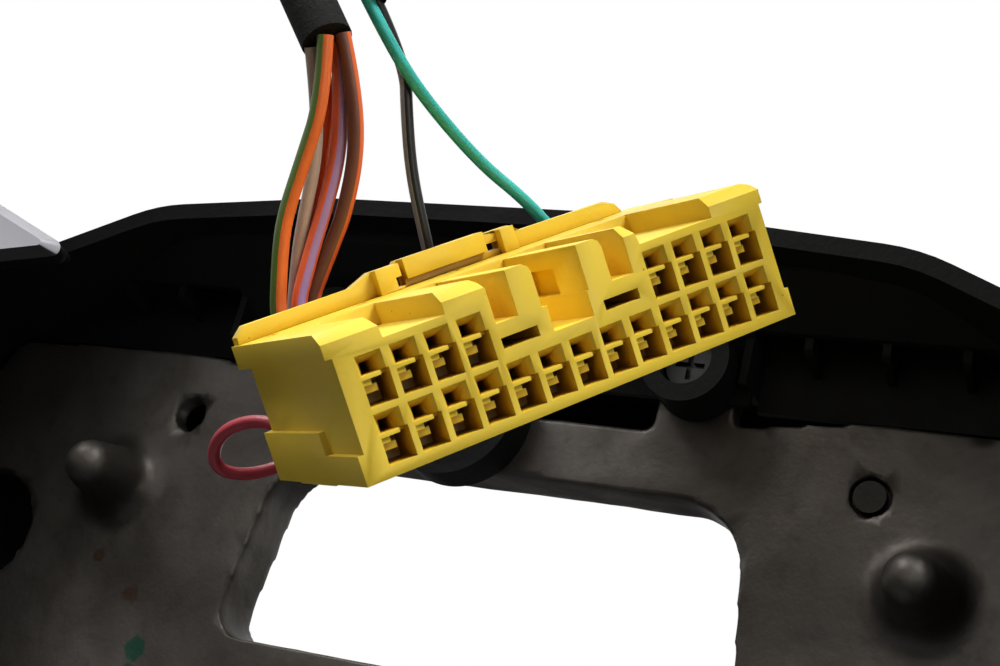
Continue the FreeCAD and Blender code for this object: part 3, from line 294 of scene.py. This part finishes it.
def tape():
    """Woven loom tape."""
    graph = Graph("loom_tape")
    weave = graph.noise(2600, 3, 0.7)
    folds = graph.noise(260, 4, 0.6)
    tint = graph.ramp(weave, [(0.35, (0.003, 0.003, 0.003)), (0.7, (0.014, 0.014, 0.013))])
    normal = graph.bump(weave, 0.00012, 1.0, graph.bump(folds, 0.0004, 0.6))
    return graph.finish(colour=tint, roughness=0.8, specular=0.12, normal=normal)


LOOKS = {
    "cast_metal": cast_metal(),
    "steel": metal("steel", (0.42, 0.42, 0.43), 0.32),
    "dark_steel": metal("dark_steel", (0.05, 0.05, 0.05), 0.35),
    "rim_plastic": plastic("rim_plastic", (0.014, 0.014, 0.015), 0.58, 900, 0.00012, 0.2),
    "black_plastic": plastic("black_plastic", (0.0075, 0.0075, 0.0073), 0.6, 1100, 0.00008, 0.1, 0.2),
    "key_plastic": plastic("key_plastic", (0.014, 0.014, 0.015), 0.45, 2000, 0.00003, 0.25),
    "silver_trim": painted_trim("silver_trim", (0.60, 0.60, 0.64)),
    "yellow_plastic": plug_plastic("yellow_plastic"),
    "terminal_metal": metal("terminal_metal", (0.30, 0.20, 0.07), 0.35),
    "loom_tape": tape(),
}
WIRE_LOOKS = {
    "wire_orange_green": insulation(
        "insulation_orange_green", (0.80, 0.16, 0.03), (0.10, 0.17, 0.03), 0.64, 0.28),
    "wire_beige": insulation("insulation_beige", (0.50, 0.40, 0.35)),
    "wire_orange_violet": insulation(
        "insulation_orange_violet", (0.76, 0.13, 0.035), (0.38, 0.22, 0.44), 0.45, 0.15),
    "wire_orange": insulation("insulation_orange", (0.62, 0.08, 0.02)),
    "wire_brown": insulation("insulation_brown", (0.17, 0.065, 0.04), (0.72, 0.13, 0.03), 0.26, 0.20),
    "wire_black_grey": insulation(
        "insulation_black_grey", (0.014, 0.014, 0.015), (0.30, 0.30, 0.31), 0.62, 0.20),
    # The teal wire's darker teal band along one side is painted shade.
    "wire_teal": insulation("insulation_teal", (0.05, 0.56, 0.50), (0.03, 0.16, 0.15), 0.74, 0.16),
    "wire_red": insulation("insulation_red", (0.42, 0.035, 0.055)),
}

slot_of = {row["node"]: row["material_slot"] for row in frame["record"]["subparts"]}
for name, thing in frame["nodes"].items():
    look = LOOKS.get(slot_of[name]) or WIRE_LOOKS[name]
    if name == "locating_pin":
        look = cast_metal("pin_metal", 0.3, 0.0)
    thing.data.materials.clear()
    thing.data.materials.append(look)

# The plug's own frame in millimetres
MM = 0.001
PLUG_ORIGIN = Vector((26.2, -76.1, 36.2))
PLUG_AXES = (Vector((0.5452, 0.5591, 0.6246)), Vector((-0.3077, -0.5596, 0.7695)),
             Vector((0.7798, -0.6118, -0.1331)))
CELL_PITCH, ROW_PITCH = 4.0, 6.19
CONTACT_BACK = -22.0


def at_plug(u, v, w):
    return tuple(PLUG_ORIGIN + PLUG_AXES[0] * u + PLUG_AXES[1] * v + PLUG_AXES[2] * w)


def copy_of(node, piece_name):
    """An own mesh with the CAD node's form, where the node stands."""
    source = frame["nodes"][node]
    mesh = source.data.copy()
    mesh.transform(source.matrix_world)
    piece = bpy.data.objects.new(piece_name, mesh)
    scene.collection.objects.link(piece)
    return piece


def modifier(piece, kind, **settings):
    made = piece.modifiers.new(kind.lower(), kind)
    for key, value in settings.items():
        setattr(made, key, value)
    return made


def apply_modifiers(piece):
    shown = bpy.context.evaluated_depsgraph_get()
    shown.update()
    mesh = bpy.data.meshes.new_from_object(piece.evaluated_get(shown))
    piece.modifiers.clear()
    piece.data = mesh


MOULDED_EDGE = 0.00018
MOULDED_CORNER = math.radians(28)


def rounded_copy(node, piece_name):
    """The node's form with its sharp edges rounded, as a moulding has them."""
    piece = copy_of(node, piece_name)
    mesh = bmesh.new()
    mesh.from_mesh(piece.data)
    bmesh.ops.remove_doubles(mesh, verts=mesh.verts, dist=2e-6)
    bmesh.ops.dissolve_limit(mesh, angle_limit=math.radians(1.0), verts=mesh.verts, edges=mesh.edges)
    mesh.to_mesh(piece.data)
    mesh.free()
    modifier(piece, "BEVEL", width=MOULDED_EDGE, segments=2, limit_method="ANGLE",
             angle_limit=MOULDED_CORNER, use_clamp_overlap=True, harden_normals=False)
    apply_modifiers(piece)
    for face in piece.data.polygons:
        face.use_smooth = True
    piece.data.set_sharp_from_angle(angle=math.radians(40))
    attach(piece, "wheel")
    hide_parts(node)
    return piece


CASTING_TRIANGLES = 180000
CASTING_CELL = 0.00075
CASTING_ROUNDS = 2
# Wide and narrow waviness of the cast skin: how far apart and how deep, in metres
CASTING_WAVES = ((0.012, 0.0005), (0.004, 0.00015))


def cast_copy(node, piece_name):
    """The node's form as a casting: rebuilt in small cells, eased at every edge, slightly wavy."""
    piece = copy_of(node, piece_name)
    modifier(piece, "REMESH", mode="VOXEL", voxel_size=CASTING_CELL, use_smooth_shade=True)
    modifier(piece, "SMOOTH", factor=0.5, iterations=CASTING_ROUNDS)
    for scale, depth in CASTING_WAVES:
        clouds = bpy.data.textures.new(f"{piece_name}_clouds", "CLOUDS")
        clouds.noise_scale = scale
        clouds.noise_depth = 2
        modifier(piece, "DISPLACE", texture=clouds, strength=depth, mid_level=0.5,
                 texture_coords="LOCAL")
    apply_modifiers(piece)
    triangles = sum(len(face.vertices) - 2 for face in piece.data.polygons)
    if triangles > CASTING_TRIANGLES:
        modifier(piece, "DECIMATE", ratio=CASTING_TRIANGLES / triangles)
        apply_modifiers(piece)
    for face in piece.data.polygons:
        face.use_smooth = True
    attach(piece, "wheel")
    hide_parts(node)
    return piece


on_plug = [rounded_copy("plug_housing", "plug_housing_moulding"),
           rounded_copy("plug_retainer", "plug_retainer_moulding"),
           frame["nodes"]["plug_terminals"]]
cast_copy("armature", "armature_casting")


# Cords: the routes' points, in millimetres, from the plug to the loom and from the loom's mouth
# to its clip, the same as the solids have
# How far a wire bends aside and back where it leaves its cell
EXIT_BENDS = {"wire_orange_green": (-0.3, 0), "wire_orange_violet": (-2.2, 0.1),
              "wire_brown": (-4.2, 1.6), "wire_black_grey": (2.2, 0)}


# A wire leaves its terminal this far right of and above its cell's corner, and bends up behind the plug
EXIT_RIGHT, EXIT_UP = 1.3, 3.6
STRAIGHT_BACK = -30.3


def cell_exit(name, column, tier):
    """The first points of a wire's route; the red wire loops back under the plug."""
    u, v = column * CELL_PITCH + EXIT_RIGHT, tier * ROW_PITCH + EXIT_UP
    if name == "wire_red":
        return [at_plug(u, v, CONTACT_BACK), at_plug(u, v, STRAIGHT_BACK)]
    aside, behind = EXIT_BENDS.get(name, (0, 0))
    if tier:
        return [at_plug(u, v, CONTACT_BACK), at_plug(u, v, STRAIGHT_BACK),
                at_plug(u - 0.4 + aside, v + 5.2, -34.2 - behind)]
    return [at_plug(u, v, CONTACT_BACK), at_plug(u, v, -31.2),
            at_plug(u - 0.3 + aside, v + 5.6, -36.8 - behind)]


LEFT_LOOM = [(0.1, -72.2, 88.5), (-9.8, -74.0, 101.9), (-20.0, -75.5, 114.5), (-36.0, -75.0, 125.5),
             (-56.0, -72.0, 127.0), (-75.0, -66.5, 114.0), (-86.0, -58.5, 86.0), (-88.0, -48.0, 56.0),
             (-85.0, -37.0, 28.0), (-82.0, -26.5, 4.0), (-80.5, -21.5, -9.0), (-80.5, -12.0, -12.0)]
RIGHT_LOOM = [(1.7, -68.7, 97.1), (3.4, -69.6, 110.3), (14.0, -72.5, 124.5), (35.0, -74.0, 134.0),
              (60.0, -72.5, 131.0), (82.0, -68.0, 115.0), (94.0, -60.5, 88.0), (96.0, -51.0, 58.0),
              (91.0, -40.5, 30.0), (85.0, -29.0, 5.0), (80.5, -21.5, -9.0), (80.5, -12.0, -12.0)]
LEFT_LOOM_DIAMETER, RIGHT_LOOM_DIAMETER = 6.4, 4.2
THIN, THICK = 1.6, 2.0
# Each wire: its cell's column and row, its diameter, its loom, and its points past the plug
WIRES = {
    "wire_orange_green": (1, 1, THICK, LEFT_LOOM, [
        (-2.6, -64.6, 62.5), (-2.3, -66.7, 67.4), (-0.6, -68.8, 74.1),
        (1.2, -71.1, 81.1), (1.0, -74.1, 88.1)]),
    "wire_beige": (1, 0, THIN, LEFT_LOOM, [
        (-2.7, -61.2, 64.6), (-1.9, -63.4, 69.3), (-0.7, -66.4, 76.5),
        (-1.1, -69.7, 82.9), (-1.4, -72.9, 87.2)]),
    "wire_orange_violet": (2, 1, THICK, LEFT_LOOM, [
        (-0.6, -61.7, 65.3), (0.4, -63.0, 70.1), (1.5, -65.0, 76.9),
        (1.2, -67.5, 83.1), (0.5, -70.5, 89.7)]),
    "wire_orange": (2, 0, THIN, LEFT_LOOM, [
        (-3.0, -59.6, 65.8), (-2.0, -61.3, 70.4), (-1.3, -64.0, 76.7),
        (-0.8, -67.2, 83.9), (-1.5, -70.8, 88.2)]),
    "wire_brown": (3, 1, THICK, LEFT_LOOM, [
        (1.0, -60.3, 66.3), (2.6, -61.9, 70.8), (3.8, -64.9, 77.7),
        (3.3, -68.9, 84.4), (1.9, -72.2, 89.6)]),
    "wire_black_grey": (6, 0, THIN, RIGHT_LOOM, [
        (7.4, -51.5, 74.4), (5.9, -55.2, 80.2), (5.2, -58.6, 86.2),
        (4.5, -61.1, 92.1), (2.1, -67.8, 97.1)]),
    "wire_teal": (11, 1, THIN, RIGHT_LOOM, [
        (16.4, -43.5, 82.6), (11.8, -49.1, 84.7), (7.1, -59.1, 88.5),
        (4.6, -65.8, 92.0), (1.3, -69.6, 97.1)]),
    "wire_red": (0, 0, THIN, None, [
        (-4.3, -58.6, 44.5), (-8.8, -58.1, 41.9), (-9.8, -55.0, 38.5),
        (-6.6, -51.3, 39.3), (-2.0, -49.2, 42.9),
        (3.1, -46.8, 46.7)]),
}


CORD_SIDES, CORD_STEPS = 8, 16
LENGTH_STEPS = 24


def cord_curve(name, points, diameter, look):
    """A round cord on a smooth spline whose control points are the route's."""
    data = bpy.data.curves.new(name, "CURVE")
    data.dimensions = "3D"
    data.bevel_depth = diameter * MM / 2
    data.bevel_resolution = CORD_SIDES
    data.resolution_u = CORD_STEPS
    data.use_fill_caps = True
    spline = data.splines.new("NURBS")
    spline.points.add(len(points) - 1)
    for point, place in zip(spline.points, points):
        point.co = (*(Vector(place) * MM), 1)
    spline.order_u = 3
    spline.use_endpoint_u = True
    piece = bpy.data.objects.new(name, data)
    scene.collection.objects.link(piece)
    data.materials.append(look)
    return piece


def spline_length(points):
    """Length in metres of the quadratic spline that has these control points."""
    total, before = 0.0, Vector(points[0])
    knots = [Vector(p) for p in points]
    middles = [knots[0]] + [(a + b) / 2 for a, b in zip(knots[1:-2], knots[2:-1])] + [knots[-1]]
    for start, control, end in zip(middles, knots[1:-1], middles[1:]):
        for step in range(1, LENGTH_STEPS + 1):
            t = step / LENGTH_STEPS
            here = start * (1 - t) ** 2 + control * 2 * t * (1 - t) + end * t ** 2
            total += (here - before).length
            before = here
    return total * MM


for name, route, diameter in (("left_loom", LEFT_LOOM, LEFT_LOOM_DIAMETER),
                              ("right_loom", RIGHT_LOOM, RIGHT_LOOM_DIAMETER)):
    points = route[::-1]
    piece = cord_curve("cord_" + name, points, diameter, LOOKS["loom_tape"])
    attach(piece, "wheel")
    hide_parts(name)
    spline_length(points)
for name, (column, tier, diameter, loom, route) in WIRES.items():
    points = cell_exit(name, column, tier) + route
    if loom is not None:
        points = points[::-1]
    piece = cord_curve("cord_" + name, points, diameter, WIRE_LOOKS[name])
    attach(piece, "wheel")
    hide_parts(name)
    spline_length(points)


# Floor, world and lamps
FLOOR_HALF, FLOOR_Z = 3.0, -0.192
FLOOR_SEEN, FLOOR_LIT = (0.62, 0.62, 0.61), (0.17, 0.17, 0.17)
FLOOR_GLOW = 0.42
SKY_STRENGTH = 0.08
floor_mesh = bpy.data.meshes.new("floor")
corners = ((-1, -1), (1, -1), (1, 1), (-1, 1))
floor_mesh.from_pydata([(x * FLOOR_HALF, y * FLOOR_HALF, FLOOR_Z) for x, y in corners],
                       [], [(0, 1, 2, 3)])
floor = bpy.data.objects.new("floor", floor_mesh)
scene.collection.objects.link(floor)
floor_look = Graph("floor")
floor_rays = floor_look.node("LightPath")
floor_shade = floor_look.mix(floor_rays.outputs["Is Camera Ray"], FLOOR_LIT, FLOOR_SEEN)
floor_glow = floor_look.maths("MULTIPLY", floor_rays.outputs["Is Camera Ray"], FLOOR_GLOW)
floor_mesh.materials.append(floor_look.finish(colour=floor_shade, roughness=0.8, specular=0.1,
                                              glow=(1, 1, 1), glow_strength=floor_glow))

world = bpy.data.worlds.new("studio")
scene.world = world
world.use_nodes = True
nodes, links = world.node_tree.nodes, world.node_tree.links
nodes.clear()
sky = nodes.new("ShaderNodeBackground")
backdrop = nodes.new("ShaderNodeBackground")
chooser = nodes.new("ShaderNodeMixShader")
rays = nodes.new("ShaderNodeLightPath")
seen = nodes.new("ShaderNodeMath")
seen.operation = "MAXIMUM"
shiny = nodes.new("ShaderNodeMath")
shiny.operation = "MAXIMUM"
out = nodes.new("ShaderNodeOutputWorld")
sky.inputs["Color"].default_value = (0.9, 0.95, 1.0, 1)
sky.inputs["Strength"].default_value = SKY_STRENGTH
backdrop.inputs["Color"].default_value = (1, 1, 1, 1)
backdrop.inputs["Strength"].default_value = 1.0
links.new(rays.outputs["Is Camera Ray"], seen.inputs[0])
links.new(rays.outputs["Is Transmission Ray"], seen.inputs[1])
links.new(seen.outputs[0], shiny.inputs[0])
links.new(rays.outputs["Is Glossy Ray"], shiny.inputs[1])
links.new(shiny.outputs[0], chooser.inputs[0])
links.new(sky.outputs[0], chooser.inputs[1])
links.new(backdrop.outputs[0], chooser.inputs[2])
links.new(chooser.outputs[0], out.inputs[0])


def lamp(name, place, aim, width, power, spread):
    """A soft rectangular lamp: place and aim in metres, width, watts, spread in degrees."""
    data = bpy.data.lights.new(name, "AREA")
    data.spread = math.radians(spread)
    data.shape = "RECTANGLE"
    data.size, data.size_y = width
    data.energy = power
    made = bpy.data.objects.new(name, data)
    made.location = place
    made.rotation_euler = (Vector(aim) - Vector(place)).to_track_quat("-Z", "Y").to_euler()
    scene.collection.objects.link(made)


lamp("key", (0.47, -0.43, 0.98), (0.01, -0.06, 0.05), (0.42, 0.42), 1.4, spread=50)
lamp("right", (1.1, -0.62, 0.16), (0.02, -0.06, 0.05), (0.5, 0.5), 0.35, spread=75)
lamp("left", (-0.62, -0.62, 0.95), (-0.08, 0.0, 0.03), (0.4, 0.4), 0.8, spread=50)
lamp("back", (-0.55, -0.05, 0.95), (-0.04, -0.02, 0.03), (0.6, 0.4), 1.5, spread=90)
